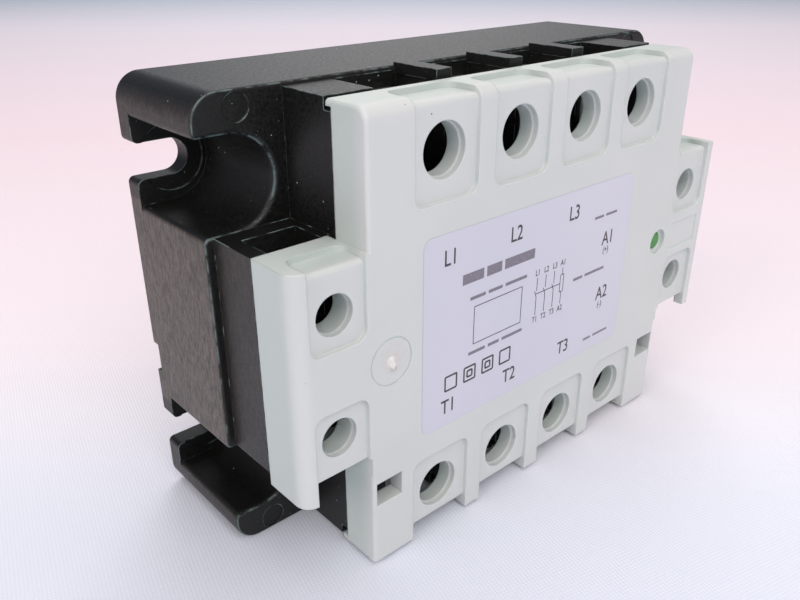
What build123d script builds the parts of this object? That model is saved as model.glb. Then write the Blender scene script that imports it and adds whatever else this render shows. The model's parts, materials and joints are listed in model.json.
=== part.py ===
from build123d import *
import os

os.makedirs("parts", exist_ok=True)

# Three-phase solid state relay: a black moulded housing on a metal base plate, with
# the power stage and the control board inside, and a light grey clip-on cover.
# All sizes are in millimetres. X runs across the relay, +Y points out of the heatsink
# face and Z runs up the relay. The origin is the centre of the base plate's outer face.

# --- Overall sizes -------------------------------------------------------------------
width = 103.0
height = 73.2
depth = 41.5

# --- Housing: rear body ----------------------------------------------------------------
rear_y = -0.15                 # the base plate stands this proud of the plastic
flange_y = -22.8               # front face of the rear body
top_corner_r = 4.0
foot_corner_r = 3.0
slot_x = 45.65                 # centre of the open mounting slots
slot_z = {1: 23.9, -1: 24.2}   # above and below the middle
slot_r = 2.8
recess_x = 46.4                # centre of the round end of the head recess
recess_r = {1: 6.7, -1: 6.5}
recess_floor_y = -3.6
washer_seat_r = 5.2
washer_seat_depth = 0.25
ejector_x = 44.8
ejector_z = 34.15
ejector_r = 2.0
ejector_depth = 0.2
edge_round = 0.5                # rounding of the rear body's front rim
jaw_round = 0.9                 # rounding at the open ends of the slots and recesses
edge_notch_z = -10.25
edge_notch_height = 5.3
edge_notch_depth = 1.7
core_x = 45.9                  # pockets cored out of the side blocks from behind
core_size = (7.0, 28.0, 15.0)

# --- Housing: front body ---------------------------------------------------------------
body_half_x = 37.4
body_half_z = 36.0
body_front_y = -32.2
wall_front_y = -33.7
wall_half_z = 34.2
ear_half_x = 50.1
ear_half_z = 17.05
bay_inner_z = 20.5             # wire bays run from here out through the end
bay_floor_y = -23.0
barrier_width = 2.4
barrier_cap_width = 3.0
barrier_cap_height = 1.6
barrier_front_y = -32.2
barrier_cap_z = {1: 37.1, -1: 36.6}
end_block_x = 29.1
cavity_half_x = 35.9
cavity_half_z = 29.5
cavity_y = -18.8
board_room_half_z = 18.3
board_room_y = -31.7
tab_room_x = 41.6
tab_room_half_z = 3.8

# --- Terminals -------------------------------------------------------------------------
pitch = 15.72
phase_x = (-1.5 * pitch, -0.5 * pitch, 0.5 * pitch)
column_x = (-1.5 * pitch, -0.5 * pitch, 0.5 * pitch, 1.5 * pitch)
terminal_z = 28.15
control_x = 43.2
control_z = 9.65
control_floor_y = -26.0
chamber_half_x = 4.4
chamber_z = (5.0, 17.6)
control_slot_x = (control_x - 4.9, control_x - 2.3)
rest_gap = 0.3                 # open gap under each clamp when it is screwed down

m5_r = 2.5
m5_length = 9.0
m5_head_r = 4.6
m5_head_height = 3.2
m5_nut_flats = 8.0
m5_nut_height = 3.4
m3_r = 1.5
m3_length = 8.0
m3_head_r = 2.9
m3_head_height = 2.2
m3_nut_flats = 5.5
m3_nut_height = 2.4
thread_clearance = 0.08
head_clearance = 0.05

busbar_thickness = 1.2
control_tab_thickness = 0.8
power_clamp_thickness = 1.5
control_clamp_thickness = 1.0

# --- Cover -----------------------------------------------------------------------------
cover_half_x = 37.9
cover_half_z = 35.9
cover_ear_half_x = 50.2
cover_ear_top_z = 17.15
cover_foot_z = {-1: -19.0, 1: -18.1}   # lower ends of the left and right ears
label_thickness = 0.1
cover_front_y = -depth + label_thickness
cover_plate = 2.9              # front plate thickness, measured outside the pockets
cover_wall = 1.5
side_rear_y = -34.4
lip_rear_y = -33.3
lip_height = 0.9
ear_rear_y = -32.5
front_fillet = 2.0             # rounding along the top of the central block
ear_fillet = 2.4               # rounding of the left ear's outer edge
block_edge_r = 0.6              # rounding of the central block's upright front edges
pocket_depth = 0.8
pocket_half_x = 6.15
pocket_inner_z = 21.0
pocket_corner_r = 1.8
pocket_roll = 0.9              # rounding of the pocket floors over the upper edge
pocket_rear_y = -34.9
ear_pocket_rear_y = -35.9
foot_cutback = 2.3
power_hole_r = 4.06
power_tube_r = 3.75
power_tube_outer_r = 5.2
power_tube_rear_y = -37.2
control_hole_r = 3.08
control_tube_r = 2.9
control_tube_outer_r = 4.1
control_tube_rear_y = -36.3
hole_step = 1.0                # each hole narrows to its tube this far below the pocket floor
ear_pocket_x = {-1: (-47.85, -38.35), 1: (38.35, 48.5)}
ear_pocket_z = 4.6
ear_foot_z = -15.55
ear_tip_rear_y = -39.4         # the right ear's tip is only this deep
light_x = 34.5
light_hole_r = 2.45
light_bore_r = 1.75
light_step_y = -40.5
guide_r = 1.65
guide_tip_y = -40.75
gate_x = -34.1
gate_z = -0.45
gate_ring_r = 3.85
gate_ring_width = 0.2
gate_ring_depth = 0.12
window_x = 34.7
window_z = -22.85
window_size = (5.1, 4.2)
window_depth = 3.4
field_centre = (43.6, -0.15)
field_size = (9.4, 5.3)
post_x = 30.2
post_z = 13.5
post_r = 1.6
post_rear_y = -28.5

# --- Label -----------------------------------------------------------------------------
label_centre = (-2.5, 0.0)
label_size = (51.2, 32.7)
label_corner_r = 1.6

# --- Power stage and control board -----------------------------------------------------
plate_half_x = 40.0
plate_half_z = 35.0
plate_thickness = 3.0
plate_fit = 0.15
plate_screw_x = 20.0
plate_screw_z = 32.0
plate_screw_r = 1.2
plate_screw_head_r = 2.2
plate_screw_length = 12.0
tile_width = 15.0
tile_half_z = 24.0
tile_thickness = 0.8
track_width = 14.0
track_thickness = 0.3
track_gap = 2.0
die_size = 6.2
die_thickness = 0.4
die_x = 3.3
die_z = 7.0
board_rear_y = -24.4
board_thickness = 1.6
board_half_x = 34.5
board_half_z = 16.8
board_tongue_x = 41.2           # the board reaches this far towards the control tabs


def facing(y):
    """Plane at this depth, seen from the front: local x is X, local y is Z."""
    return Plane(origin=(0, y, 0), x_dir=(1, 0, 0), z_dir=(0, -1, 0))


def slab(x_span, y_span, z_span, mode=Mode.ADD):
    """Block between its limits along each axis."""
    spans = (x_span, y_span, z_span)
    centre = tuple((low + high) / 2 for low, high in spans)
    sides = [abs(high - low) for low, high in spans]
    with Locations(centre):
        Box(*sides, mode=mode)


def bar(x, z, radius, rear_y, front_y, mode=Mode.ADD):
    """Round bar or hole along Y."""
    with BuildSketch(facing(rear_y)) as section:
        with Locations((x, z)):
            Circle(radius)
    extrude(section.sketch, amount=rear_y - front_y, mode=mode)


def hexagon(x, z, flats, rear_y, front_y, mode=Mode.ADD):
    """Hexagonal prism along Y, measured across its flats."""
    with BuildSketch(facing(rear_y)) as section:
        with Locations((x, z)):
            RegularPolygon(flats / 2, 6, major_radius=False)
    extrude(section.sketch, amount=rear_y - front_y, mode=mode)


def side_slot(sign_x, x, z, radius, rear_y, front_y, mode=Mode.SUBTRACT):
    """Slot with a round inner end, open at the side of the relay."""
    run = width / 2 + 1 - x
    with BuildSketch(facing(rear_y)) as section:
        with Locations((sign_x * x, z)):
            Circle(radius)
        with Locations((sign_x * (x + run / 2), z)):
            Rectangle(run, 2 * radius)
    extrude(section.sketch, amount=rear_y - front_y, mode=mode)


def save(part, label):
    part.label = label
    export_step(part, f"parts/{label}.step")


corners = [(sx, sz) for sx in (-1, 1) for sz in (-1, 1)]
past_front = wall_front_y - 1
power_terminals = [(f"l{i + 1}", x, 1) for i, x in enumerate(phase_x)]
power_terminals += [(f"t{i + 1}", x, -1) for i, x in enumerate(phase_x)]
control_terminals = [("a1", 1), ("a2", -1)]

# --- Housing ---------------------------------------------------------------------------
with BuildPart() as housing:
    with BuildSketch(facing(rear_y)) as rear_outline:
        Rectangle(width, height)
        fillet(rear_outline.vertices().group_by(Axis.Z)[-1], top_corner_r)
        fillet(rear_outline.vertices().group_by(Axis.Z)[0], foot_corner_r)
    extrude(amount=rear_y - flange_y)
    fillet(housing.edges().group_by(Axis.Y)[0], edge_round)

    # Mounting corners: head recess, washer seat, open slot and ejector mark
    for sx, sz in corners:
        z = sz * slot_z[sz]
        side_slot(sx, recess_x, z, recess_r[sz], recess_floor_y, flange_y)
        side_slot(sx, slot_x, z, slot_r, 0, recess_floor_y)
        bar(sx * slot_x, z, washer_seat_r,
            recess_floor_y + washer_seat_depth, recess_floor_y, Mode.SUBTRACT)
        bar(sx * ejector_x, sz * ejector_z, ejector_r,
            flange_y + ejector_depth, flange_y, Mode.SUBTRACT)

    # Rounded jaws where the slots and recesses leave the sides
    jaws = housing.edges().filter_by(Axis.Y).filter_by(
        lambda edge: abs(abs(edge.center().X) - width / 2) < 0.01
        and abs(edge.center().Z) < height / 2 - foot_corner_r - 0.1)
    fillet(jaws, jaw_round)

    # Front body: a central block with an ear on each side, and a raised wall on the block
    with BuildSketch(facing(flange_y)):
        Rectangle(2 * body_half_x, 2 * body_half_z)
        Rectangle(2 * ear_half_x, 2 * ear_half_z)
    extrude(amount=flange_y - body_front_y)
    with BuildSketch(facing(body_front_y)):
        Rectangle(2 * body_half_x, 2 * wall_half_z)
    extrude(amount=body_front_y - wall_front_y)

    # Side blocks: a notch in the rear edge, and a pocket cored out from behind
    for sx in (-1, 1):
        slab((sx * (width / 2 - 3), sx * width / 2), (0, -edge_notch_depth),
             (edge_notch_z - edge_notch_height / 2, edge_notch_z + edge_notch_height / 2),
             Mode.SUBTRACT)
        slab((sx * (core_x - core_size[0] / 2), sx * (core_x + core_size[0] / 2)),
             (0, -core_size[2]), (-core_size[1] / 2, core_size[1] / 2), Mode.SUBTRACT)

    # Seat for the base plate, and the rooms for the power stage and the control board
    seat_half_x = plate_half_x + plate_fit
    seat_half_z = plate_half_z + plate_fit
    slab((-seat_half_x, seat_half_x), (0, -plate_thickness), (-seat_half_z, seat_half_z),
         Mode.SUBTRACT)
    slab((-cavity_half_x, cavity_half_x), (-plate_thickness, cavity_y),
         (-cavity_half_z, cavity_half_z), Mode.SUBTRACT)
    slab((-cavity_half_x, cavity_half_x), (cavity_y, board_room_y),
         (-board_room_half_z, board_room_half_z), Mode.SUBTRACT)
    slab((cavity_half_x, tab_room_x), (cavity_y, board_room_y),
         (-tab_room_half_z, tab_room_half_z), Mode.SUBTRACT)

    # Wire bays at the top and the bottom, with capped barriers between them
    bay_edges = [-end_block_x]
    for barrier in (-pitch, 0, pitch):
        bay_edges += [barrier - barrier_width / 2, barrier + barrier_width / 2]
    bay_edges.append(end_block_x)
    for sz in (-1, 1):
        outer_z = sz * (height / 2 + 1)
        for left, right in zip(bay_edges[0::2], bay_edges[1::2]):
            slab((left, right), (bay_floor_y, past_front), (sz * bay_inner_z, outer_z),
                 Mode.SUBTRACT)
        cap_z = barrier_cap_z[sz]
        for barrier in (-pitch, 0, pitch):
            slab((barrier - barrier_cap_width / 2, barrier + barrier_cap_width / 2),
                 (flange_y, barrier_front_y), (sz * (cap_z - barrier_cap_height), sz * cap_z))

    # Wire chambers in both ears: the right pair is used, the left pair is spare
    for sx, sz in corners:
        slab((sx * (control_x - chamber_half_x), sx * (control_x + chamber_half_x)),
             (control_floor_y, past_front), (sz * chamber_z[0], sz * chamber_z[1]),
             Mode.SUBTRACT)

    # Power terminals: boss, screw hole, nut pocket and busbar slot
    for name, x, sz in power_terminals:
        z = sz * terminal_z
        bar(x, z, 5.0, cavity_y + 3.0, cavity_y)
        bar(x, z, m5_r + 0.4, cavity_y + 2.2, bay_floor_y, Mode.SUBTRACT)
        hexagon(x, z, m5_nut_flats + 0.1, bay_floor_y + 3.6, bay_floor_y, Mode.SUBTRACT)
        slab((x - 3.1, x + 3.1), (cavity_y, bay_floor_y), (sz * 20.8, sz * 22.2),
             Mode.SUBTRACT)

    # Control terminals: screw hole, nut pocket and a slot for the tab
    for name, sz in control_terminals:
        z = sz * control_z
        bar(control_x, z, m3_r + 0.3, control_floor_y + 7.8, control_floor_y, Mode.SUBTRACT)
        hexagon(control_x, z, m3_nut_flats + 0.1, control_floor_y + 2.6, control_floor_y,
                Mode.SUBTRACT)
        slab(control_slot_x, (control_floor_y, control_floor_y - 1.0), (sz * 3.7, sz * 5.1),
             Mode.SUBTRACT)

    # Sockets for the cover's posts, and the hole for the light guide
    for sx, sz in corners:
        bar(sx * post_x, sz * post_z, post_r + 1.6, board_room_y + 5.4, board_room_y)
        bar(sx * post_x, sz * post_z, post_r + 0.15, board_room_y + 4.4, wall_front_y,
            Mode.SUBTRACT)
    bar(light_x, 0, 1.55, board_room_y, wall_front_y, Mode.SUBTRACT)

    # Holes for the base plate screws
    for sx, sz in corners:
        bar(sx * plate_screw_x, sz * plate_screw_z, plate_screw_r + 0.05,
            0, -plate_screw_length - 0.5, Mode.SUBTRACT)
save(housing.part, "housing")

# --- Base plate and its screws -----------------------------------------------------------
with BuildPart() as base_plate:
    slab((-plate_half_x, plate_half_x), (0, -plate_thickness), (-plate_half_z, plate_half_z))
    fillet(base_plate.edges().filter_by(Axis.Y), 2.0)
    for sx, sz in corners:
        with BuildSketch(facing(0)) as sink_mouth:
            with Locations((sx * plate_screw_x, sz * plate_screw_z)):
                Circle(plate_screw_head_r + 0.05)
        with BuildSketch(facing(-1.2)) as sink_floor:
            with Locations((sx * plate_screw_x, sz * plate_screw_z)):
                Circle(plate_screw_r + 0.05)
        loft([sink_mouth.sketch, sink_floor.sketch], mode=Mode.SUBTRACT)
        bar(sx * plate_screw_x, sz * plate_screw_z, plate_screw_r + 0.05,
            -1.0, -plate_thickness, Mode.SUBTRACT)
save(base_plate.part, "base_plate")

with BuildPart() as base_plate_screws:
    for sx, sz in corners:
        x = sx * plate_screw_x
        z = sz * plate_screw_z
        with BuildSketch(facing(-0.1)) as head_top:
            with Locations((x, z)):
                Circle(plate_screw_head_r - 0.15)
        with BuildSketch(facing(-1.2)) as head_root:
            with Locations((x, z)):
                Circle(plate_screw_r)
        loft([head_top.sketch, head_root.sketch])
        bar(x, z, plate_screw_r, -1.2, -plate_screw_length)
        slab((x - 1.5, x + 1.5), (0, -0.6), (z - 0.3, z + 0.3), Mode.SUBTRACT)
        slab((x - 0.3, x + 0.3), (0, -0.6), (z - 1.5, z + 1.5), Mode.SUBTRACT)
save(base_plate_screws.part, "base_plate_screws")

# --- Power stage: one ceramic tile, its copper tracks, dies and clips for each phase ------
tile_y = -plate_thickness - tile_thickness
track_y = tile_y - track_thickness
die_y = track_y - die_thickness
for number, x in enumerate(phase_x, start=1):
    with BuildPart() as tile:
        slab((x - tile_width / 2, x + tile_width / 2), (-plate_thickness, tile_y),
             (-tile_half_z, tile_half_z))
    save(tile.part, f"ceramic_tile_{number}")

    with BuildPart() as tracks:
        for sz in (-1, 1):
            slab((x - track_width / 2, x + track_width / 2), (tile_y, track_y),
                 (sz * track_gap / 2, sz * (tile_half_z - 0.5)))
    save(tracks.part, f"copper_tracks_{number}")

with BuildPart() as thyristor_dies:
    for x in phase_x:
        for side in (-1, 1):
            with Locations((x + side * die_x, (track_y + die_y) / 2, -side * die_z)):
                Box(die_size, die_thickness, die_size)
save(thyristor_dies.part, "thyristor_dies")

clip_half_x = 1.7
clip_thickness = 0.5
clip_top_y = die_y - 1.4
with BuildPart() as die_clips:
    for x in phase_x:
        for side in (-1, 1):
            span_x = (x + side * die_x - clip_half_x, x + side * die_x + clip_half_x)
            slab(span_x, (die_y, die_y - clip_thickness), (-side * 5.0, -side * 8.6))
            slab(span_x, (die_y, clip_top_y), (-side * 4.5, -side * 5.0))
            slab(span_x, (clip_top_y + clip_thickness, clip_top_y), (-side * 4.5, side * 3.0))
            slab(span_x, (track_y, clip_top_y), (side * 2.5, side * 3.0))
            slab(span_x, (track_y, track_y - clip_thickness), (side * 3.0, side * 5.6))
save(die_clips.part, "die_clips")

with BuildPart() as gate_pins:
    for x in phase_x:
        for side in (-1, 1):
            bar(x + side * (die_x + 2.3), -side * (die_z + 2.3), 0.4, die_y, board_rear_y)
            bar(x + side * (die_x + 2.3), side * 14.5, 0.4, track_y, board_rear_y)
save(gate_pins.part, "gate_pins")

# --- Power terminals: busbars, captive nuts, clamps and screws ----------------------------
busbar_front_y = bay_floor_y - busbar_thickness
for name, x, sz in power_terminals:
    with BuildPart() as busbar:
        slab((x - 5.4, x + 5.4), (bay_floor_y, busbar_front_y), (sz * 22.1, sz * 33.6))
        bar(x, sz * terminal_z, 3.0, bay_floor_y, busbar_front_y, Mode.SUBTRACT)
        slab((x - 3.0, x + 3.0), (track_y, busbar_front_y), (sz * 20.9, sz * 22.1))
        slab((x - 3.0, x + 3.0), (track_y, track_y - busbar_thickness),
             (sz * 17.4, sz * 20.9))
    save(busbar.part, f"busbar_{name}")

with BuildPart() as captive_nuts_m5:
    for name, x, sz in power_terminals:
        nut_rear_y = bay_floor_y + m5_nut_height + 0.1
        hexagon(x, sz * terminal_z, m5_nut_flats, nut_rear_y, bay_floor_y + 0.1)
        bar(x, sz * terminal_z, m5_r + thread_clearance, nut_rear_y, bay_floor_y + 0.1,
            Mode.SUBTRACT)
save(captive_nuts_m5.part, "captive_nuts_m5")

power_clamp_y = busbar_front_y - rest_gap
power_seat_y = power_clamp_y - power_clamp_thickness
for name, x, sz in power_terminals:
    z = sz * terminal_z
    with BuildPart() as clamp:
        slab((x - 5.1, x + 5.1), (power_clamp_y, power_seat_y), (z - 4.8, z + 4.8))
        fillet(clamp.edges().filter_by(Axis.Y), 1.0)
        chamfer(clamp.faces().sort_by(Axis.Y)[0].edges(), 0.3)
        bar(x, z, m5_r + 0.25, power_clamp_y, power_seat_y, Mode.SUBTRACT)
        for row in (-3.9, 3.9):
            slab((x - 5.2, x + 5.2), (power_clamp_y, power_clamp_y - 0.35),
                 (z + row - 0.3, z + row + 0.3), Mode.SUBTRACT)
    save(clamp.part, f"clamp_{name}")

    head_y = power_seat_y - head_clearance
    with BuildPart() as screw:
        bar(x, z, m5_r, head_y + m5_length, head_y)
        chamfer(screw.faces().sort_by(Axis.Y)[-1].edges(), 0.5)
        bar(x, z, m5_head_r, head_y, head_y - m5_head_height)
        fillet(screw.faces().sort_by(Axis.Y)[0].edges(), 0.9)
        slot_y = head_y - m5_head_height
        slab((x - 5.0, x + 5.0), (slot_y, slot_y + 1.4), (z - 0.6, z + 0.6), Mode.SUBTRACT)
        slab((x - 0.6, x + 0.6), (slot_y, slot_y + 1.9), (z - 2.4, z + 2.4), Mode.SUBTRACT)
        slab((x - 2.4, x + 2.4), (slot_y, slot_y + 1.9), (z - 0.6, z + 0.6), Mode.SUBTRACT)
    save(screw.part, f"screw_{name}")

# --- Control terminals --------------------------------------------------------------------
tab_front_y = control_floor_y - control_tab_thickness
control_clamp_y = tab_front_y - rest_gap
control_seat_y = control_clamp_y - control_clamp_thickness
with BuildPart() as captive_nuts_m3:
    for name, sz in control_terminals:
        nut_rear_y = control_floor_y + m3_nut_height + 0.1
        hexagon(control_x, sz * control_z, m3_nut_flats, nut_rear_y, control_floor_y + 0.1)
        bar(control_x, sz * control_z, m3_r + thread_clearance, nut_rear_y,
            control_floor_y + 0.1, Mode.SUBTRACT)
save(captive_nuts_m3.part, "captive_nuts_m3")

for name, sz in control_terminals:
    z = sz * control_z
    with BuildPart() as tab:
        slab((control_x - 3.9, control_x + 3.9), (control_floor_y, tab_front_y),
             (z - 3.8, z + 3.8))
        bar(control_x, z, 1.9, control_floor_y, tab_front_y, Mode.SUBTRACT)
        slab((control_slot_x[0] + 1.0, control_slot_x[1] - 0.1), (control_floor_y, tab_front_y),
             (sz * 1.2, sz * 6.0))
    save(tab.part, f"control_tab_{name}")

    with BuildPart() as clamp:
        slab((control_x - 3.6, control_x + 3.6), (control_clamp_y, control_seat_y),
             (z - 3.5, z + 3.5))
        fillet(clamp.edges().filter_by(Axis.Y), 0.8)
        bar(control_x, z, m3_r + 0.2, control_clamp_y, control_seat_y, Mode.SUBTRACT)
        for row in (-2.7, 2.7):
            slab((control_x - 3.7, control_x + 3.7), (control_clamp_y, control_clamp_y - 0.25),
                 (z + row - 0.25, z + row + 0.25), Mode.SUBTRACT)
    save(clamp.part, f"clamp_{name}")

    head_y = control_seat_y - head_clearance
    with BuildPart() as screw:
        bar(control_x, z, m3_r, head_y + m3_length, head_y)
        chamfer(screw.faces().sort_by(Axis.Y)[-1].edges(), 0.3)
        bar(control_x, z, m3_head_r, head_y, head_y - m3_head_height)
        fillet(screw.faces().sort_by(Axis.Y)[0].edges(), 0.6)
        slot_y = head_y - m3_head_height
        slab((control_x - 3.0, control_x + 3.0), (slot_y, slot_y + 1.0), (z - 0.4, z + 0.4),
             Mode.SUBTRACT)
        slab((control_x - 0.4, control_x + 0.4), (slot_y, slot_y + 1.2), (z - 1.5, z + 1.5),
             Mode.SUBTRACT)
    save(screw.part, f"screw_{name}")

# --- Control board and its components -----------------------------------------------------
board_front_y = board_rear_y - board_thickness
with BuildPart() as control_board:
    slab((-board_half_x, board_half_x), (board_rear_y, board_front_y),
         (-board_half_z, board_half_z))
    slab((board_half_x, board_tongue_x), (board_rear_y, board_front_y), (-3.4, 3.4))
save(control_board.part, "control_board")

with BuildPart() as optocouplers:
    for x in phase_x:
        slab((x - 3.7, x + 3.7), (board_front_y, board_front_y - 3.4), (-3.2, 3.2))
        for row in (-2.54, 0, 2.54):
            slab((x + row - 0.35, x + row + 0.35), (board_front_y, board_front_y - 1.8),
                 (-4.4, 4.4))
        bar(x - 2.6, 2.2, 0.5, board_front_y - 3.2, board_front_y - 3.4, Mode.SUBTRACT)
save(optocouplers.part, "optocouplers")

with BuildPart() as input_regulator:
    slab((22.0, 28.5), (board_front_y, board_front_y - 1.7), (-1.8, 1.8))
    for lead in (-2.3, 0, 2.3):
        slab((25.25 + lead - 0.4, 25.25 + lead + 0.4), (board_front_y, board_front_y - 0.5),
             (-3.4, -1.8))
    slab((23.7, 26.8), (board_front_y, board_front_y - 0.5), (1.8, 3.4))
save(input_regulator.part, "input_regulator")

resistor_spots = [(x + dx, z) for x in phase_x for dx in (-3, 3) for z in (-9.5, -7, 7, 9.5)]
resistor_spots += [(22.5, 9), (26.5, 9), (22.5, -9), (26.5, -9)]
with BuildPart() as chip_resistors:
    with Locations([(x, board_front_y - 0.3, z) for x, z in resistor_spots]):
        Box(3.2, 0.6, 1.6)
save(chip_resistors.part, "chip_resistors")

with BuildPart() as snubber_capacitors:
    for x in phase_x:
        slab((x - 2.3, x + 2.3), (board_rear_y, board_rear_y + 12.0), (-5.6, 5.6))
    fillet(snubber_capacitors.edges().filter_by(Axis.Y), 0.6)
save(snubber_capacitors.part, "snubber_capacitors")

with BuildPart() as status_led:
    slab((light_x - 1.6, light_x + 1.6), (board_front_y, board_front_y - 0.9), (-1.4, 1.4))
    bar(light_x, 0, 1.1, board_front_y - 0.9, board_front_y - 1.1)
save(status_led.part, "status_led")

with BuildPart() as light_guide:
    bar(light_x, 0, 1.5, board_front_y - 1.3, wall_front_y)
    bar(light_x, 0, 2.1, wall_front_y, wall_front_y - 0.8)
    bar(light_x, 0, guide_r, wall_front_y - 0.8, guide_tip_y)
    fillet(light_guide.faces().sort_by(Axis.Y)[0].edges(), 0.4)
save(light_guide.part, "light_guide")

# --- Cover --------------------------------------------------------------------------------
plate_rear_y = cover_front_y + cover_plate
pocket_floor_y = cover_front_y + pocket_depth
hole_step_y = pocket_floor_y + hole_step


def pocket(x_span, inner_z, end_z):
    """Shallow pocket round a terminal hole, open at the end of the cover."""
    outer_z = end_z + (1 if end_z > inner_z else -1)
    with BuildSketch(facing(pocket_floor_y)) as face:
        with Locations((sum(x_span) / 2, (inner_z + outer_z) / 2)):
            Rectangle(x_span[1] - x_span[0], abs(outer_z - inner_z))
        fillet(face.vertices().group_by(Axis.Z)[0 if end_z > inner_z else -1], pocket_corner_r)
    extrude(face.sketch, amount=pocket_depth + 1, mode=Mode.SUBTRACT)


def pocket_over_edge(x_span, top_z, end_y):
    """The same pocket carried over the upper edge and along the top, back to end_y."""
    floor_z = top_z - pocket_depth
    radius = pocket_roll
    width_x = x_span[1] - x_span[0]
    with BuildSketch(Plane.XY.offset(floor_z)) as step:
        with Locations((sum(x_span) / 2, (end_y + cover_front_y - 1) / 2)):
            Rectangle(width_x, end_y - cover_front_y + 1)
        fillet(step.vertices().group_by(Axis.Y)[-1], pocket_corner_r)
    extrude(step.sketch, amount=pocket_depth + 1, mode=Mode.SUBTRACT)
    with BuildSketch(Plane.YZ.offset(x_span[0])) as corner:
        with Locations((pocket_floor_y + radius / 2, floor_z - radius / 2)):
            Rectangle(radius, radius)
        with Locations((pocket_floor_y + radius, floor_z - radius)):
            Circle(radius, mode=Mode.SUBTRACT)
    extrude(corner.sketch, amount=width_x, mode=Mode.SUBTRACT)


def tube(x, z, outer_r, rear_y):
    bar(x, z, outer_r, rear_y, plate_rear_y - 0.5)


power_holes = [(x, sz) for x in column_x for sz in (-1, 1)]

with BuildPart() as front_cover:
    # Outer form: a tall central block with an ear on each side, and a lip along each end
    slab((-cover_half_x, cover_half_x), (side_rear_y, cover_front_y),
         (-cover_half_z, cover_half_z))
    for sz in (-1, 1):
        slab((-cover_half_x, cover_half_x), (lip_rear_y, side_rear_y),
             (sz * (cover_half_z - lip_height), sz * cover_half_z))
    for sx in (-1, 1):
        slab((sx * cover_half_x, sx * cover_ear_half_x), (ear_rear_y, cover_front_y),
             (cover_foot_z[sx], cover_ear_top_z))
    front_edges = front_cover.edges().group_by(Axis.Y)[0]
    fillet(front_edges.filter_by(Axis.X).sort_by(Axis.Z)[-1:], front_fillet)
    fillet(front_edges.filter_by(Axis.Z).sort_by(Axis.X)[:1], ear_fillet)
    block_edges = front_cover.edges().group_by(Axis.Y)[0].filter_by(Axis.Z).filter_by(
        lambda edge: abs(abs(edge.center().X) - cover_half_x) < 0.01)
    fillet(block_edges, block_edge_r)

    # Hollow behind the front plate
    hollow_half_x = cover_half_x - cover_wall
    hollow_half_z = cover_half_z - cover_wall
    slab((-hollow_half_x, hollow_half_x), (side_rear_y + 1, plate_rear_y),
         (-hollow_half_z, hollow_half_z), Mode.SUBTRACT)
    slab((-cover_ear_half_x + cover_wall, cover_ear_half_x - cover_wall),
         (ear_rear_y + 1, plate_rear_y),
         (ear_foot_z + cover_wall, cover_ear_top_z - cover_wall), Mode.SUBTRACT)

    # Barriers between the terminals, and a tube behind every terminal hole
    for sz in (-1, 1):
        for x in (-pitch, 0, pitch):
            slab((x - 0.8, x + 0.8), (side_rear_y, plate_rear_y - 0.5),
                 (sz * bay_inner_z, sz * (cover_half_z - 1.0)))
    for x, sz in power_holes:
        tube(x, sz * terminal_z, power_tube_outer_r, power_tube_rear_y)
    for sx, sz in corners:
        tube(sx * control_x, sz * control_z, control_tube_outer_r, control_tube_rear_y)
    tube(light_x, 0, light_bore_r + 1.2, side_rear_y - 1.0)

    # Pockets round the holes; those at the bottom are cut back through the edge
    for x in column_x:
        x_span = (x - pocket_half_x, x + pocket_half_x)
        pocket(x_span, pocket_inner_z, cover_half_z)
        pocket_over_edge(x_span, cover_half_z, pocket_rear_y)
        pocket(x_span, -pocket_inner_z, -cover_half_z)
        slab(x_span, (lip_rear_y + 1, cover_front_y - 1),
             (-cover_half_z - 1, -cover_half_z + foot_cutback), Mode.SUBTRACT)
    for sx in (-1, 1):
        x_span = ear_pocket_x[sx]
        pocket(x_span, ear_pocket_z, cover_ear_top_z)
        pocket_over_edge(x_span, cover_ear_top_z, ear_pocket_rear_y)
        pocket(x_span, -ear_pocket_z, cover_foot_z[sx])
        slab((sx * cover_half_x, max(x_span, key=abs)), (ear_rear_y + 1, cover_front_y - 1),
             (cover_foot_z[sx] - 1, ear_foot_z), Mode.SUBTRACT)
    slab((ear_pocket_x[1][1], cover_ear_half_x + 1), (ear_rear_y + 1, ear_tip_rear_y),
         (cover_foot_z[1] - 1, ear_foot_z), Mode.SUBTRACT)

    # Terminal holes, stepped down to the bore of the tube behind them
    for x, sz in power_holes:
        bar(x, sz * terminal_z, power_hole_r, hole_step_y, cover_front_y - 1, Mode.SUBTRACT)
        bar(x, sz * terminal_z, power_tube_r, power_tube_rear_y + 1, hole_step_y,
            Mode.SUBTRACT)
    for sx, sz in corners:
        bar(sx * control_x, sz * control_z, control_hole_r, hole_step_y, cover_front_y - 1,
            Mode.SUBTRACT)
        bar(sx * control_x, sz * control_z, control_tube_r, control_tube_rear_y + 1,
            hole_step_y, Mode.SUBTRACT)
    bar(light_x, 0, light_hole_r, light_step_y, cover_front_y - 1, Mode.SUBTRACT)
    bar(light_x, 0, light_bore_r, side_rear_y, light_step_y, Mode.SUBTRACT)

    # Square release windows, moulding gate mark and the recessed marking field
    for sx in (-1, 1):
        slab((sx * (window_x - window_size[0] / 2), sx * (window_x + window_size[0] / 2)),
             (cover_front_y + window_depth, cover_front_y - 1),
             (window_z - window_size[1] / 2, window_z + window_size[1] / 2), Mode.SUBTRACT)
    gate_floor_y = cover_front_y + gate_ring_depth
    bar(gate_x, gate_z, gate_ring_r, gate_floor_y, cover_front_y - 1, Mode.SUBTRACT)
    bar(gate_x, gate_z, gate_ring_r - gate_ring_width, gate_floor_y, cover_front_y)
    slab((field_centre[0] - field_size[0] / 2, field_centre[0] + field_size[0] / 2),
         (cover_front_y + 0.2, cover_front_y - 1),
         (field_centre[1] - field_size[1] / 2, field_centre[1] + field_size[1] / 2),
         Mode.SUBTRACT)

    # Posts that plug into the housing
    for sx, sz in corners:
        bar(sx * post_x, sz * post_z, post_r, post_rear_y, plate_rear_y - 0.5)
save(front_cover.part, "front_cover")

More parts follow.
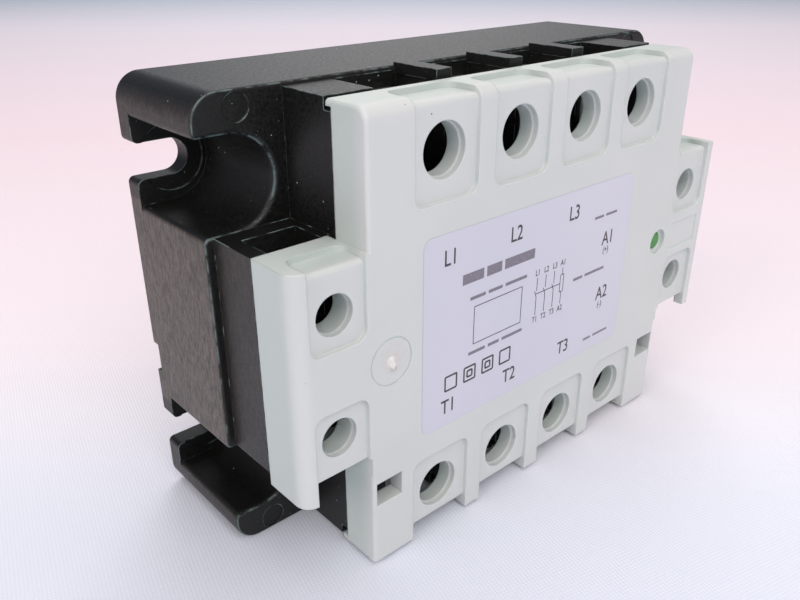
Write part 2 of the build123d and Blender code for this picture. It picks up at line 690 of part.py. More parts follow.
with BuildPart() as rating_label:
    with BuildSketch(facing(cover_front_y)):
        with Locations(label_centre):
            RectangleRounded(*label_size, label_corner_r)
    extrude(amount=label_thickness)
save(rating_label.part, "rating_label")
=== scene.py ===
import json
import math
import random

import bmesh
import bpy
from mathutils import Matrix, Vector


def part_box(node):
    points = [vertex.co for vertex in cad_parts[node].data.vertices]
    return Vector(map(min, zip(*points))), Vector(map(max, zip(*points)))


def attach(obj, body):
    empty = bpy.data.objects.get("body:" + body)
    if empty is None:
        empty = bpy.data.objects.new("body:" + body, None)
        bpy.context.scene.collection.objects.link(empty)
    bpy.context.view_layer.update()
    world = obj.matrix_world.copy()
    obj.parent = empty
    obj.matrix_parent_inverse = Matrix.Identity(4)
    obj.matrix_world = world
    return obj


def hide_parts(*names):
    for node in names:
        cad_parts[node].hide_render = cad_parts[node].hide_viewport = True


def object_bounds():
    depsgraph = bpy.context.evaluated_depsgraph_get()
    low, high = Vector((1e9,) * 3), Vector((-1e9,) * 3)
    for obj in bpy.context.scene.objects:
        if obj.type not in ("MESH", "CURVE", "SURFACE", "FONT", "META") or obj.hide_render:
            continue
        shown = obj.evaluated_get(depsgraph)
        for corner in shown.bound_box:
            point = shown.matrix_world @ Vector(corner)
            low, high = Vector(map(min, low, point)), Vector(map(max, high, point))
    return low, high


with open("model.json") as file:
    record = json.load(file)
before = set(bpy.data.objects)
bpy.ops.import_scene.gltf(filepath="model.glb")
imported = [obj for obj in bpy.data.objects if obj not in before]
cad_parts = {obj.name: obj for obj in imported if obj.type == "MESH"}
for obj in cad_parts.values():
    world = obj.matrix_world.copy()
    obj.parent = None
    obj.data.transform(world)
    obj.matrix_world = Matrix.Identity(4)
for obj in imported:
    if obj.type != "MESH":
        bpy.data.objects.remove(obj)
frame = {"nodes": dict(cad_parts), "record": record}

cad_low, cad_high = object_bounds()
MM = 0.001
NODES = frame["nodes"]
POWER = ("l1", "l2", "l3", "t1", "t2", "t3")
CONTROL = ("a1", "a2")
GATE = Vector((-0.0341, 0.0, -0.00045))


# --- Material helpers -------------------------------------------------------------------
def new_material(name, color, roughness, **sockets):
    """Principled material with its uniform values set on the shader's own sockets."""
    material = bpy.data.materials.new(name)
    material.use_nodes = True
    shader = material.node_tree.nodes["Principled BSDF"]
    shader.inputs["Base Color"].default_value = (*color, 1.0)
    shader.inputs["Roughness"].default_value = roughness
    for socket, value in sockets.items():
        shader.inputs[socket.replace("_", " ")].default_value = value
    return material


def node(material, kind, **settings):
    made = material.node_tree.nodes.new(kind)
    for key, value in settings.items():
        if key in made.inputs:
            made.inputs[key].default_value = value
        else:
            setattr(made, key, value)
    return made


def link(material, out_socket, in_socket):
    material.node_tree.links.new(out_socket, in_socket)


def shader_of(material):
    return material.node_tree.nodes["Principled BSDF"]


def position(material, stretch=(1, 1, 1), turn=0.0):
    """Position in the object's own space, in metres, stretched and turned about Z."""
    place = node(material, "ShaderNodeTexCoord").outputs["Object"]
    if stretch == (1, 1, 1) and turn == 0.0:
        return place
    mapping = node(material, "ShaderNodeMapping", Scale=stretch, Rotation=(0, 0, turn))
    link(material, place, mapping.inputs["Vector"])
    return mapping.outputs["Vector"]


def noise(material, scale, detail=2.0, roughness=0.5, stretch=(1, 1, 1)):
    made = node(material, "ShaderNodeTexNoise", Scale=scale, Detail=detail, Roughness=roughness)
    link(material, position(material, stretch), made.inputs["Vector"])
    return made.outputs["Fac"]


def ramp(material, source, stops):
    """Colour ramp with (place, colour) stops."""
    made = node(material, "ShaderNodeValToRGB")
    elements = made.color_ramp.elements
    while len(elements) < len(stops):
        elements.new(0.5)
    for element, (place, color) in zip(elements, stops):
        element.position = place
        element.color = (*color, 1.0)
    link(material, source, made.inputs["Fac"])
    return made.outputs["Color"]


def span(material, source, low, high, to_low=0.0, to_high=1.0):
    """Source carried from low..high to to_low..to_high, and held at the ends."""
    made = node(material, "ShaderNodeMapRange")
    for socket, value in (("From Min", low), ("From Max", high),
                          ("To Min", to_low), ("To Max", to_high)):
        made.inputs[socket].default_value = value
    link(material, source, made.inputs["Value"])
    return made.outputs["Result"]


def calculate(material, operation, first, second):
    """Math node on two values, each a socket or a number."""
    made = node(material, "ShaderNodeMath", operation=operation)
    for socket, value in zip(made.inputs, (first, second)):
        if isinstance(value, (int, float)):
            socket.default_value = value
        else:
            link(material, value, socket)
    return made.outputs["Value"]


def mix_color(material, factor, first, second):
    """Blend of two colours, each a socket or an RGB triple."""
    made = node(material, "ShaderNodeMix", data_type="RGBA")
    for socket, value in ((made.inputs["Factor"], factor),
                          (made.inputs[6], first), (made.inputs[7], second)):
        if isinstance(value, tuple):
            socket.default_value = (*value, 1.0)
        else:
            link(material, value, socket)
    return made.outputs[2]


def rounded_edges(material, radius):
    """Normal that is softened over sharp edges, and a mask that is 1 on the edges."""
    bevel = node(material, "ShaderNodeBevel", samples=6, Radius=radius)
    flat = node(material, "ShaderNodeNewGeometry").outputs["True Normal"]
    dot = node(material, "ShaderNodeVectorMath", operation="DOT_PRODUCT")
    link(material, bevel.outputs["Normal"], dot.inputs[0])
    link(material, flat, dot.inputs[1])
    return bevel.outputs["Normal"], span(material, dot.outputs["Value"], 0.995, 0.86)


def openness(material, reach):
    """1 on open surfaces and outer edges, about a half in inner corners."""
    occlusion = node(material, "ShaderNodeAmbientOcclusion", samples=8, only_local=True,
                     Distance=reach)
    return occlusion.outputs["AO"]


def bump(material, height, strength, distance, normal=None):
    made = node(material, "ShaderNodeBump", Strength=strength, Distance=distance)
    link(material, height, made.inputs["Height"])
    if normal:
        link(material, normal, made.inputs["Normal"])
    link(material, made.outputs["Normal"], shader_of(material).inputs["Normal"])


def specks(material, cell, radius, share):
    """Mask of small round specks, one in some of the cells of this size."""
    cells = node(material, "ShaderNodeTexVoronoi", Scale=1 / cell)
    link(material, position(material), cells.inputs["Vector"])
    split = node(material, "ShaderNodeSeparateColor")
    link(material, cells.outputs["Color"], split.inputs["Color"])
    kept = calculate(material, "LESS_THAN", split.outputs["Red"], share)
    size = span(material, split.outputs["Green"], 0, 1, 0.4 * radius / cell, radius / cell)
    dot = calculate(material, "LESS_THAN", cells.outputs["Distance"], size)
    return calculate(material, "MULTIPLY", kept, dot)


def axis_distance(material, source, axis):
    """Size of one component of a vector, without its sign."""
    split = node(material, "ShaderNodeSeparateXYZ")
    link(material, source, split.inputs["Vector"])
    return calculate(material, "ABSOLUTE", split.outputs[axis], 0)


def outer_side_sheen_mask(material):
    """1 on the outermost faces that look along X, less on the blocks set back from them; these
    faces get the scuffs and a lighter painted sheen.
    """
    normal = node(material, "ShaderNodeNewGeometry").outputs["True Normal"]
    facing = span(material, axis_distance(material, normal, "X"), 0.7, 0.95)
    place = position(material)
    half_width = cad_high.x
    outer = span(material, axis_distance(material, place, "X"),
                 half_width - 0.0018, half_width - 0.0002, 0.0, 1.0)
    block = span(material, axis_distance(material, place, "Z"), 0.0178, 0.0186, 1.0, 0.30)
    return calculate(material, "MULTIPLY", facing, calculate(material, "MULTIPLY", outer, block))


def rim_wear_and_highlight(material):
    """Mask of the middle of the rounded edges that lead over to the front faces, where a painted
    highlight and worn edges go.
    """
    normal = node(material, "ShaderNodeNewGeometry").outputs["True Normal"]
    forward = axis_distance(material, normal, "Y")
    return calculate(material, "MULTIPLY", span(material, forward, 0.50, 0.62, 0.0, 0.42),
                     span(material, forward, 0.90, 0.80))


# --- Materials --------------------------------------------------------------------------
def black_moulding():
    """Spark-eroded black moulding: fine grain, sides with scuff streaks and a painted sheen, worn
    outer edges with a painted highlight, specks.
    """
    made = new_material("black_moulding", (0.02, 0.02, 0.02), 0.5, IOR=1.42)
    grain = noise(made, 2400.0, 3.0, 0.65)
    color = ramp(made, grain, [(0.32, (0.002, 0.002, 0.002)), (0.72, (0.011, 0.011, 0.010))])
    streaks = noise(made, 1900.0, 4.0, 0.7, stretch=(1, 1, 0.25))
    patches = noise(made, 70.0, 2.0, 0.5)
    scuff_and_sheen = calculate(made, "MULTIPLY", span(made, streaks, 0.36, 0.64, 0.25, 1.0),
                        span(made, patches, 0.3, 0.65, 0.7, 1.0))
    scuff_and_sheen = calculate(made, "MULTIPLY", scuff_and_sheen, outer_side_sheen_mask(made))
    # Painted sheen: the outer faces along X are lightened to a warm grey, broken up by the scuff
    # streaks.
    color = mix_color(made, scuff_and_sheen, color, (0.152, 0.124, 0.108))
    normal, edges = rounded_edges(made, 0.00022)
    open_edge = span(made, openness(made, 0.001), 0.62, 0.80, -0.13, 0.0)
    edge_breakup = calculate(made, "ADD", noise(made, 500.0, 4.0), open_edge)
    edges = calculate(made, "MAXIMUM", edges, rim_wear_and_highlight(made))
    # Painted highlight with some edge wear: edges and rounded rims are lightened greenish, broken
    # into dashes and kept off inner corners.
    wear_and_highlight = calculate(made, "MULTIPLY", edges, span(made, edge_breakup, 0.42, 0.56))
    color = mix_color(made, wear_and_highlight, color, (0.24, 0.34, 0.33))
    color = mix_color(made, specks(made, 0.0019, 0.00013, 0.34), color, (0.42, 0.44, 0.43))
    color = mix_color(made, specks(made, 0.0006, 0.00005, 0.30), color, (0.30, 0.32, 0.32))
    link(made, color, shader_of(made).inputs["Base Color"])
    link(made, span(made, grain, 0.3, 0.7, 0.36, 0.54), shader_of(made).inputs["Roughness"])
    bump(made, grain, 0.45, 0.00006, normal)
    return made


def gate_stain(material):
    """Mask of the brownish scorch in the plastic beside the moulding gate."""
    away = node(material, "ShaderNodeVectorMath", operation="DISTANCE")
    away.inputs[1].default_value = (GATE.x + 0.0006, cad_low.y, GATE.z + 0.0007)
    link(material, position(material), away.inputs[0])
    near = span(material, away.outputs["Value"], 0.0030, 0.0004, 0.0, 0.42)
    return calculate(material, "MULTIPLY", near, span(material, noise(material, 900.0), 0.35, 0.6))


def grey_cover():
    """Satin light grey moulding with softly rounded edges, a pale painted highlight on the edges
    near the front, and greenish painted shade deeper in the holes and pockets.
    """
    made = new_material("grey_cover", (0.62, 0.65, 0.62), 0.42, IOR=1.5)
    cloud = noise(made, 45.0, 2.0)
    color = ramp(made, cloud, [(0.3, (0.612, 0.636, 0.616)), (0.7, (0.652, 0.666, 0.654))])
    place_y = axis_distance(made, position(made), "Y")
    front_y = abs(cad_low.y)
    # Painted shade: surfaces more than 1 mm behind the front, inside holes and pockets, are
    # darkened and tinted green.
    painted_hole_shade = span(made, place_y, front_y - 0.0010, front_y - 0.0032, 0.0, 0.65)
    color = mix_color(made, painted_hole_shade, color, (0.510, 0.590, 0.550))
    normal, edges = rounded_edges(made, 0.00035)
    # Painted highlight: edges within the front 1.3 mm, such as the pocket steps, are lightened to a
    # greenish white.
    front_edge_highlight_band = span(made, place_y, front_y - 0.0016, front_y - 0.0013, 0.0, 0.75)
    color = mix_color(made, calculate(made, "MULTIPLY", edges, front_edge_highlight_band), color, (0.78, 0.88, 0.84))
    color = mix_color(made, gate_stain(made), color, (0.66, 0.50, 0.44))
    color = mix_color(made, specks(made, 0.0045, 0.00013, 0.20), color, (0.16, 0.17, 0.16))
    link(made, color, shader_of(made).inputs["Base Color"])
    grain = noise(made, 2600.0, 2.0)
    link(made, span(made, grain, 0.3, 0.7, 0.38, 0.50), shader_of(made).inputs["Roughness"])
    bump(made, grain, 0.12, 0.00003, normal)
    return made


def satin_label():
    """Pale lavender film with a faint ripple from the adhesive."""
    made = new_material("satin_label", (0.60, 0.58, 0.71), 0.34)
    tone = noise(made, 30.0, 1.0)
    color = ramp(made, tone, [(0.3, (0.610, 0.608, 0.688)), (0.7, (0.642, 0.632, 0.708))])
    _, rim = rounded_edges(made, 0.00010)
    color = mix_color(made, calculate(made, "MULTIPLY", rim, 0.6), color, (0.36, 0.36, 0.43))
    link(made, color, shader_of(made).inputs["Base Color"])
    bump(made, noise(made, 160.0, 1.0), 0.25, 0.00006)
    return made


def printing_ink():
    made = new_material("printing_ink", (0.035, 0.025, 0.030), 0.4)
    link(made, ramp(made, noise(made, 5000.0), [(0.3, (0.030, 0.022, 0.026)),
                                                (0.8, (0.075, 0.060, 0.066))]),
         shader_of(made).inputs["Base Color"])
    return made


def small_print_ink():
    made = new_material("small_print_ink", (0.17, 0.15, 0.18), 0.4)
    link(made, ramp(made, noise(made, 4000.0), [(0.3, (0.15, 0.13, 0.16)),
                                                (0.8, (0.28, 0.26, 0.31))]),
         shader_of(made).inputs["Base Color"])
    return made


def metal(name, color, roughness, brushed=(1, 1, 1), edge=0.0001):
    """Plated or bare metal with a fine brushed grain and brighter edges."""
    made = new_material(name, color, roughness, Metallic=1.0)
    grain = noise(made, 3200.0, 3.0, 0.6, stretch=brushed)
    dull = tuple(0.80 * c for c in color)
    link(made, ramp(made, grain, [(0.3, dull), (0.7, color)]), shader_of(made).inputs["Base Color"])
    link(made, span(made, grain, 0.3, 0.7, roughness - 0.08, roughness + 0.1),
         shader_of(made).inputs["Roughness"])
    normal, _ = rounded_edges(made, edge)
    bump(made, grain, 0.25, 0.00003, normal)
    return made


def mottled(name, color, roughness, scale, spread, **sockets):
    """Plain moulded, fired or cast surface with a fine variation in tone."""
    made = new_material(name, color, roughness, **sockets)
    grain = noise(made, scale, 3.0)
    stops = [(0.3, tuple(c * (1 - spread) for c in color)),
             (0.7, tuple(min(1, c * (1 + spread)) for c in color))]
    link(made, ramp(made, grain, stops), shader_of(made).inputs["Base Color"])
    bump(made, grain, 0.15, 0.00003)
    return made


SLOT_MATERIALS = {
    "housing_plastic": black_moulding(),
    "cover_plastic": grey_cover(),
    "label_film": satin_label(),
    "base_metal": metal("milled_nickel", (0.66, 0.66, 0.64), 0.36, brushed=(0.05, 1, 1)),
    "steel_screw": metal("zinc_steel", (0.55, 0.55, 0.53), 0.35),
    "plated_steel": metal("nickel_steel", (0.62, 0.61, 0.58), 0.3),
    "copper": metal("bare_copper", (0.72, 0.36, 0.23), 0.35),
    "tinned_copper": metal("tinned_copper", (0.66, 0.65, 0.62), 0.35, brushed=(1, 1, 0.1)),
    "ceramic_white": mottled("fired_alumina", (0.80, 0.79, 0.76), 0.5, 900.0, 0.05),
    "silicon": mottled("silicon_die", (0.07, 0.075, 0.09), 0.15, 400.0, 0.2),
    "circuit_board": mottled("solder_mask", (0.02, 0.14, 0.05), 0.3, 500.0, 0.25),
    "ic_black": mottled("epoxy_black", (0.02, 0.02, 0.022), 0.5, 3000.0, 0.3),
    "capacitor_case": mottled("capacitor_case", (0.6, 0.42, 0.08), 0.35, 700.0, 0.08),
    "led_white": mottled("led_white", (0.8, 0.8, 0.72), 0.4, 900.0, 0.04),
    "light_guide_green": mottled("green_acrylic", (0.030, 0.24, 0.030), 0.22, 600.0, 0.15),
}
INK = printing_ink()
SMALL_INK = small_print_ink()

slot_of_node = {entry["node"]: entry["material_slot"] for entry in frame["record"]["subparts"]}
for name, cad_object in NODES.items():
    cad_object.data.materials.clear()
    cad_object.data.materials.append(SLOT_MATERIALS[slot_of_node[name]])


# --- Piece helpers ------------------------------------------------------------------------
def add_piece(name, form, material, body, smooth=False):
    """Object from a bmesh, riding on a body and taking the material it is given."""
    mesh = bpy.data.meshes.new(name)
    bmesh.ops.recalc_face_normals(form, faces=form.faces)
    form.to_mesh(mesh)
    form.free()
    for face in mesh.polygons:
        face.use_smooth = smooth
    made = bpy.data.objects.new(name, mesh)
    made.data.materials.append(material)
    bpy.context.scene.collection.objects.link(made)
    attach(made, body)
    return made


def add_block(form, x_span, y_span, z_span):
    """Closed box between its limits."""
    corners = [form.verts.new((x, y, z)) for x in x_span for y in y_span for z in z_span]
    for loop in ((0, 1, 3, 2), (4, 6, 7, 5), (0, 4, 5, 1),
                 (2, 3, 7, 6), (0, 2, 6, 4), (1, 5, 7, 3)):
        form.faces.new([corners[i] for i in loop])


# --- Label printing -----------------------------------------------------------------------
label_low, label_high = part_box("rating_label")
LABEL_Y = label_low.y
LABEL_MID_X = (label_low.x + label_high.x) / 2
INK_HEIGHT = 0.00002
INK_SPAN = (LABEL_Y - INK_HEIGHT, LABEL_Y)
LINE = 0.00014


def add_text(form, words, x, z, size, squeeze=0.82):
    """Raised letters centred on a point of the label, in metres from its middle."""
    curve = bpy.data.curves.new("letters", "FONT")
    curve.body = words
    curve.size = size
    curve.align_x = "CENTER"
    curve.align_y = "CENTER"
    curve.extrude = INK_HEIGHT / 2
    curve.resolution_u = 4
    curve.offset = 0.006 * size
    source = bpy.data.objects.new("letters", curve)
    letters = bpy.data.meshes.new_from_object(source)
    letters.transform(Matrix(((squeeze, 0, 0, LABEL_MID_X + x),
                              (0, 0, -1, LABEL_Y - INK_HEIGHT / 2),
                              (0, 1, 0, z), (0, 0, 0, 1))))
    form.from_mesh(letters)
    bpy.data.objects.remove(source)
    bpy.data.curves.remove(curve)
    bpy.data.meshes.remove(letters)


def add_line(form, start, end, line_width=LINE):
    """Straight printed line between two points of the label."""
    start, end = (Vector((LABEL_MID_X + x, 0, z)) for x, z in (start, end))
    along = (end - start).normalized()
    side = Vector((-along.z, 0, along.x)) * line_width / 2
    corners = []
    for y in INK_SPAN:
        for point in (start - side, start + side, end + side, end - side):
            corners.append(form.verts.new((point.x, y, point.z)))
    for loop in ((0, 1, 2, 3), (7, 6, 5, 4), (0, 4, 5, 1),
                 (1, 5, 6, 2), (2, 6, 7, 3), (3, 7, 4, 0)):
        form.faces.new([corners[i] for i in loop])


def add_frame(form, x_span, z_span, line_width=LINE):
    """Printed outline of a rectangle."""
    (left, right), (low, high) = x_span, z_span
    for start, end in (((left, low), (right, low)), ((left, high), (right, high)),
                       ((left, low), (left, high)), ((right, low), (right, high))):
        add_line(form, start, end, line_width)


def add_filler(form, left, z, height, words):
    """Row of plain bars in place of words, each with its length, with gaps between them."""
    for length in words:
        add_block(form, (LABEL_MID_X + left, LABEL_MID_X + left + length), INK_SPAN,
                  (z - height / 2, z + height / 2))
        left += length + 0.0007


def make_label_print():
    """Terminal marks, blank box, contact and coil diagram, and bars in place of words."""
    form = bmesh.new()
    mark = 0.0036
    for column, x in enumerate((-20.2, -5.8, 8.8), start=1):
        add_text(form, f"L{column}", x * MM, 12.4 * MM, mark)
        add_text(form, f"T{column}", (x + 0.2) * MM, -13.0 * MM, mark)
    for words, sign, z in (("A1", "(+)", 5.4), ("A2", "(-)", -5.4)):
        add_text(form, words, 19.4 * MM, z * MM, mark)
        add_text(form, sign, 19.1 * MM, (z - 2.2) * MM, 0.0017)

    # Blank box for the installer's own marking
    add_frame(form, (-14.8 * MM, -3.6 * MM), (-3.7 * MM, 2.8 * MM))

    # Three contacts tied to a coil
    small = 0.0015
    top, bottom = 3.2 * MM, -3.6 * MM
    contacts = [(0.2 + 2.25 * step) * MM for step in range(3)]
    coil = 6.9 * MM
    gap_low, gap_high = -0.3 * MM, 0.9 * MM
    for number, x in enumerate(contacts, start=1):
        add_line(form, (x, bottom), (x, gap_low))
        add_line(form, (x, gap_high), (x, top))
        add_line(form, (x, gap_low), (x - 0.5 * MM, gap_high))
        add_text(form, f"L{number}", x, top + 0.9 * MM, small)
        add_text(form, f"T{number}", x, bottom - 0.9 * MM, small)
    add_line(form, (contacts[0] - 0.25 * MM, 0.3 * MM), (coil - 0.45 * MM, 0.3 * MM))
    add_frame(form, (coil - 0.45 * MM, coil + 0.45 * MM), (-1.3 * MM, 1.9 * MM))
    add_line(form, (coil, 1.9 * MM), (coil, top))
    add_line(form, (coil, bottom), (coil, -1.3 * MM))
    add_text(form, "A1", coil, top + 0.9 * MM, small)
    add_text(form, "A2", coil, bottom - 0.9 * MM, small)

    # Outlined squares, two with a smaller square inside, stand where approval marks would be
    square = 2.5 * MM
    z_low = -10.0 * MM
    for number, left in enumerate((-20.8, -16.6, -12.4, -8.2)):
        add_frame(form, (left * MM, left * MM + square), (z_low, z_low + square), 0.00032)
        if number in (1, 2):
            add_frame(form, (left * MM + 0.7 * MM, left * MM + square - 0.7 * MM),
                      (z_low + 0.7 * MM, z_low + square - 0.7 * MM), 0.00032)
    add_piece("label_print", form, INK, "cover")

    form = bmesh.new()
    add_filler(form, -17.6 * MM, 8.0 * MM, 1.7 * MM, (4.6 * MM, 3.4 * MM, 7.2 * MM))
    add_filler(form, -15.8 * MM, 4.4 * MM, 0.55 * MM, (3.4 * MM, 3.2 * MM, 5.2 * MM))
    add_filler(form, -15.8 * MM, -5.2 * MM, 0.55 * MM, (3.8 * MM, 2.6 * MM, 5.0 * MM))
    add_filler(form, 10.2 * MM, -0.2 * MM, 0.5 * MM, (2.6 * MM, 5.6 * MM))
    add_filler(form, 14.8 * MM, 10.0 * MM, 0.45 * MM, (2.6 * MM, 3.2 * MM))
    add_filler(form, 15.2 * MM, -13.8 * MM, 0.45 * MM, (2.2 * MM, 4.4 * MM))
    add_piece("label_small_print", form, SMALL_INK, "cover")


make_label_print()


# --- Gate mark ------------------------------------------------------------------------------
def make_gate_nub():
    """Torn stub of the moulding gate, in the middle of its ring on the cover."""
    draw = random.Random(7)
    cover_front = label_high.y
    centre = Vector((GATE.x, cover_front + 0.00015, GATE.z - 0.0001))
    form = bmesh.new()
    rings, around = 7, 18
    base_radius, nub_height, lean = 0.0013, 0.00085, 0.0007
    rows = []
    for ring in range(rings):
        share = ring / (rings - 1)
        radius = base_radius * (1 - 0.78 * share ** 0.7)
        height = nub_height * share
        row = []
        for step in range(around):
            angle = 2 * math.pi * step / around
            ragged = 1 + draw.uniform(-0.20, 0.20) * (0.4 + share)
            row.append(form.verts.new((
                centre.x + 0.95 * radius * ragged * math.cos(angle),
                centre.y - height * (1 + draw.uniform(-0.25, 0.25)),
                centre.z + 1.10 * radius * ragged * math.sin(angle) - lean * share)))
        rows.append(row)
    for lower, upper in zip(rows, rows[1:]):
        for i in range(around):
            j = (i + 1) % around
            form.faces.new((lower[i], lower[j], upper[j], upper[i]))
    form.faces.new(rows[-1])
    form.faces.new(list(reversed(rows[0])))
    made = mottled("torn_plastic", (0.74, 0.73, 0.69), 0.5, 1500.0, 0.16)
    add_piece("gate_nub", form, made, "cover", smooth=True)


make_gate_nub()


# --- Terminal screws ------------------------------------------------------------------------
ROOT_SHARE = 0.80        # thread root, as a share of the thread's radius
CROWN_SHARE = 0.28       # rounded part of the head, as a share of its height
CROWN_STEPS = 8
SLOT_SHARE = 0.13        # half the slot's width, as a share of the head's radius
SLOT_DEPTH = 0.42        # as shares of the head's height
CROSS_DEPTH = 0.56
M5_SCREW = (0.0025, 0.0008, 0.70)    # thread radius, pitch, head height over head radius
M3_SCREW = (0.0015, 0.0005, 0.76)


def revolve(form, centre, profile, around=48, cap_start=True, cap_end=True):
    """Turned form about the Y axis through a point, from (radius, y) stations."""
    rows = []
    for radius, y in profile:
        rows.append([form.verts.new((centre.x + radius * math.cos(2 * math.pi * i / around), y,
                                     centre.z + radius * math.sin(2 * math.pi * i / around)))
                     for i in range(around)])
    for lower, upper in zip(rows, rows[1:]):
        for i in range(around):
            j = (i + 1) % around
            form.faces.new((lower[i], lower[j], upper[j], upper[i]))
    if cap_start:
        form.faces.new(rows[0])
    if cap_end:
        form.faces.new(list(reversed(rows[-1])))


def cut_block(target, x_span, y_span, z_span):
    """Cut a block out of a piece, with the cut applied to its mesh."""
    form = bmesh.new()
    add_block(form, x_span, y_span, z_span)
    bmesh.ops.recalc_face_normals(form, faces=form.faces)
    cutter_mesh = bpy.data.meshes.new("cutter")
    form.to_mesh(cutter_mesh)
    form.free()
    cutter = bpy.data.objects.new("cutter", cutter_mesh)
    bpy.context.scene.collection.objects.link(cutter)
    cut = target.modifiers.new("cut", "BOOLEAN")
    cut.operation = "DIFFERENCE"
    cut.solver = "EXACT"
    cut.object = cutter
    bpy.context.view_layer.update()
    depsgraph = bpy.context.evaluated_depsgraph_get()
    result = bpy.data.meshes.new_from_object(target.evaluated_get(depsgraph))
    target.modifiers.clear()
    uncut_mesh = target.data
    target.data = result
    bpy.data.meshes.remove(uncut_mesh)
    bpy.data.objects.remove(cutter)
    bpy.data.meshes.remove(cutter_mesh)


def make_screw(name, thread_radius, thread_pitch, head_share):
    """Pan head screw with a real helical thread, round the axis of its CAD solid."""
    low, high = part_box(name)
    centre = Vector(((low.x + high.x) / 2, 0, (low.z + high.z) / 2))
    head_radius = (high.x - low.x) / 2
    head_height = head_radius * head_share
    top = low.y
    seat = top + head_height
    root = thread_radius * ROOT_SHARE

    # Head: a turned disc with a crowned, rounded rim
    head = bmesh.new()
    crown = CROWN_SHARE * head_height
    profile = [(root, seat), (head_radius, seat), (head_radius, top + crown)]
    for step in range(1, CROWN_STEPS + 1):
        angle = math.radians(90 * step / CROWN_STEPS)
        profile.append((head_radius - crown * 1.2 * (1 - math.cos(angle)),
                        top + crown - crown * math.sin(angle)))
    profile.append((head_radius * 0.25, top))
    revolve(head, centre, profile)
    head_object = add_piece(f"{name}_head", head, SLOT_MATERIALS["plated_steel"], name)

    # Combined slot and cross: the slot runs right across, the cross is shorter and deeper
    half_slot = head_radius * SLOT_SHARE
    for reach_x, reach_z, depth in ((1.1 * head_radius, half_slot, SLOT_DEPTH * head_height),
                                    (half_slot, 0.55 * head_radius, CROSS_DEPTH * head_height)):
        cut_block(head_object, (centre.x - reach_x, centre.x + reach_x),
                  (top - crown, top + depth), (centre.z - reach_z, centre.z + reach_z))

    # Shank: crest and root circles swept down a helix
    shank = bmesh.new()
    around = 24
    length = high.y - seat
    steps = int(length / thread_pitch * around)
    rows = []
    for step in range(steps + 1):
        angle = 2 * math.pi * step / around
        y = seat + thread_pitch * step / around
        row = []
        for offset, radius in ((0.0, root), (0.38, thread_radius), (0.52, thread_radius)):
            place_y = min(y + offset * thread_pitch, high.y)
            fade = min(1.0, (high.y - place_y) / thread_pitch)
            shown = root + (radius - root) * fade
            row.append(shank.verts.new((centre.x + shown * math.cos(angle), place_y,
                                        centre.z + shown * math.sin(angle))))
        rows.append(row)
    for start, end in zip(rows, rows[1:]):
        for i in range(2):
            shank.faces.new((start[i], end[i], end[i + 1], start[i + 1]))
    for step in range(len(rows) - around - 1):
        lower, upper = rows[step], rows[step + around]
        next_lower, next_upper = rows[step + 1], rows[step + 1 + around]
        shank.faces.new((lower[2], next_lower[2], next_upper[0], upper[0]))
    bmesh.ops.holes_fill(shank, edges=shank.edges, sides=0)
    bmesh.ops.remove_doubles(shank, verts=shank.verts, dist=1e-7)
    shank_object = add_piece(f"{name}_thread", shank, SLOT_MATERIALS["plated_steel"], name)
    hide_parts(name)
    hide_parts(name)


for terminal in POWER:
    make_screw(f"screw_{terminal}", *M5_SCREW)
for terminal in CONTROL:
    make_screw(f"screw_{terminal}", *M3_SCREW)


# --- Stage: floor and backdrop ------------------------------------------------------------
def white_cloth():
    """Fine plain-woven white cloth with a few dark fibres, and painted light and shade: cooler near
    the relay, a warm bright band behind it, darker far off.
    """
    made = new_material("white_cloth", (0.84, 0.85, 0.90), 0.85)
    pitch = 0.0006
    threads = []
    for turn in (math.radians(14), math.radians(104)):
        wave = node(made, "ShaderNodeTexWave", Scale=0.1 * math.pi / pitch)
        link(made, position(made, turn=turn), wave.inputs["Vector"])
        threads.append(wave.outputs["Fac"])
    weave = calculate(made, "MULTIPLY", threads[0], threads[1])
    shade = span(made, weave, 0.0, 0.7, 0.93, 1.0)

    # Painted light and shade by distance behind the relay, measured level towards the far right
    along = node(made, "ShaderNodeVectorMath", operation="DOT_PRODUCT")
    along.inputs[1].default_value = (0.66, 0.75, 0.0)
    link(made, position(made), along.inputs[0])
    tone = ramp(made, span(made, along.outputs["Value"], -0.15, 1.25),
                [(0.0, (0.76, 0.81, 0.92)), (0.075, (0.80, 0.84, 0.93)),
                 (0.12, (0.97, 0.89, 0.93)), (0.27, (0.96, 0.80, 0.85)),
                 (0.60, (0.84, 0.79, 0.85)), (1.0, (0.38, 0.51, 0.61))])
    shaded = node(made, "ShaderNodeVectorMath", operation="SCALE")
    link(made, tone, shaded.inputs[0])
    link(made, shade, shaded.inputs["Scale"])
    color = mix_color(made, specks(made, 0.014, 0.00030, 0.12), shaded.outputs["Vector"],
                      (0.10, 0.11, 0.14))
    link(made, color, shader_of(made).inputs["Base Color"])
    bump(made, weave, 0.3, 0.0001)
    return made


def make_stage():
    """Level floor that curves up into a backdrop a long way behind the relay."""
    floor_z = cad_low.z
    reach, bend, radius, wall = 2.0, 2.0, 1.2, 3.0
    profile = [(-reach, 0.0), (bend, 0.0)]
    for step in range(1, 13):
        angle = math.radians(90 * step / 12)
        profile.append((bend + radius * math.sin(angle), radius * (1 - math.cos(angle))))
    profile.append((bend + radius, wall))
    mesh = bpy.data.meshes.new("stage")
    form = bmesh.new()
    rows = []
    for x in (-4.0, 5.0):
        rows.append([form.verts.new((x, y, floor_z + z)) for y, z in profile])
    for a, b, c, d in zip(rows[0], rows[0][1:], rows[1][1:], rows[1]):
        form.faces.new((a, d, c, b))
    form.to_mesh(mesh)
    form.free()
    for face in mesh.polygons:
        face.use_smooth = True
    made = bpy.data.objects.new("stage", mesh)
    made.data.materials.append(white_cloth())
    bpy.context.scene.collection.objects.link(made)


make_stage()


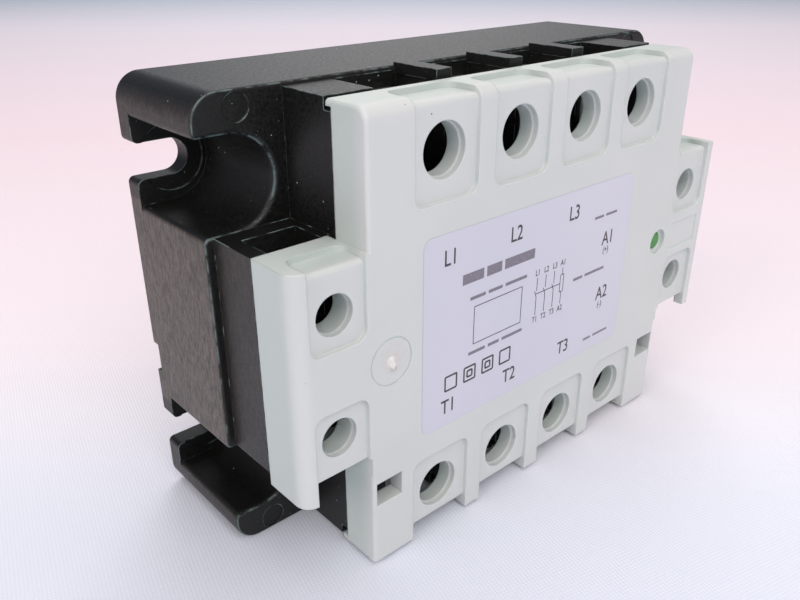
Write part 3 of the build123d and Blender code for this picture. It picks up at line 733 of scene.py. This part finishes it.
# --- Camera -------------------------------------------------------------------------------
CAMERA_ANGLES = (-41.4997, 25.5295, -0.1747)    # azimuth, elevation and roll, in degrees
CAMERA_PLACE = Vector((-0.097236, -0.114578, 0.055438))
FOCAL_LENGTH = 35.147                           # mm, on a 36 mm wide sensor


def make_camera():
    """Camera to the left of the relay, above it and close, as for a hand-held close-up."""
    azimuth, elevation, roll = (math.radians(angle) for angle in CAMERA_ANGLES)
    back = Vector((math.sin(azimuth) * math.cos(elevation),
                   -math.cos(azimuth) * math.cos(elevation), math.sin(elevation)))
    right = Vector((0, 0, 1)).cross(back).normalized()
    up = back.cross(right)
    turned_right = math.cos(roll) * right + math.sin(roll) * up
    turned_up = -math.sin(roll) * right + math.cos(roll) * up
    data = bpy.data.cameras.new("camera")
    data.sensor_width = 36.0
    data.lens = FOCAL_LENGTH
    data.clip_start = 0.005
    made = bpy.data.objects.new("camera", data)
    made.matrix_world = Matrix((
        (turned_right.x, turned_up.x, back.x, CAMERA_PLACE.x),
        (turned_right.y, turned_up.y, back.y, CAMERA_PLACE.y),
        (turned_right.z, turned_up.z, back.z, CAMERA_PLACE.z),
        (0, 0, 0, 1)))
    bpy.context.scene.collection.objects.link(made)
    bpy.context.scene.camera = made


make_camera()


# --- Light --------------------------------------------------------------------------------
def area_light(name, place, target, size, power, color, spread=180):
    data = bpy.data.lights.new(name, "AREA")
    data.shape = "DISK"
    data.size = size
    data.energy = power
    data.color = color
    data.spread = math.radians(spread)
    made = bpy.data.objects.new(name, data)
    made.location = place
    made.rotation_euler = (Vector(target) - Vector(place)).to_track_quat("-Z", "Y").to_euler()
    bpy.context.scene.collection.objects.link(made)


world = bpy.data.worlds.new("studio")
world.use_nodes = True
world.node_tree.nodes["Background"].inputs["Color"].default_value = (0.84, 0.81, 0.87, 1)
world.node_tree.nodes["Background"].inputs["Strength"].default_value = 0.42
bpy.context.scene.world = world
bpy.context.scene.view_settings.view_transform = "Standard"

area_light("key", (-0.25, -0.9, 0.75), (0, 0, 0), 1.1, 7.2, (1.0, 0.98, 0.97))
area_light("overhead", (0.1, -0.1, 0.9), (0, 0, 0), 0.9, 2.3, (1.0, 0.95, 0.92))
area_light("rear_right", (1.15, 1.31, 0.83), (0, 0, 0), 1.44, 1.35, (1.0, 0.97, 0.95), spread=80)
area_light("left", (-1.0, -0.1, 0.55), (-0.1, 0.1, 0), 0.8, 3.5, (1.0, 0.90, 0.86))
area_light("backdrop", (0.66, 0.82, 1.6), (0.72, 0.88, 0), 1.0, 4.4, (1.0, 0.98, 1.0), spread=110)
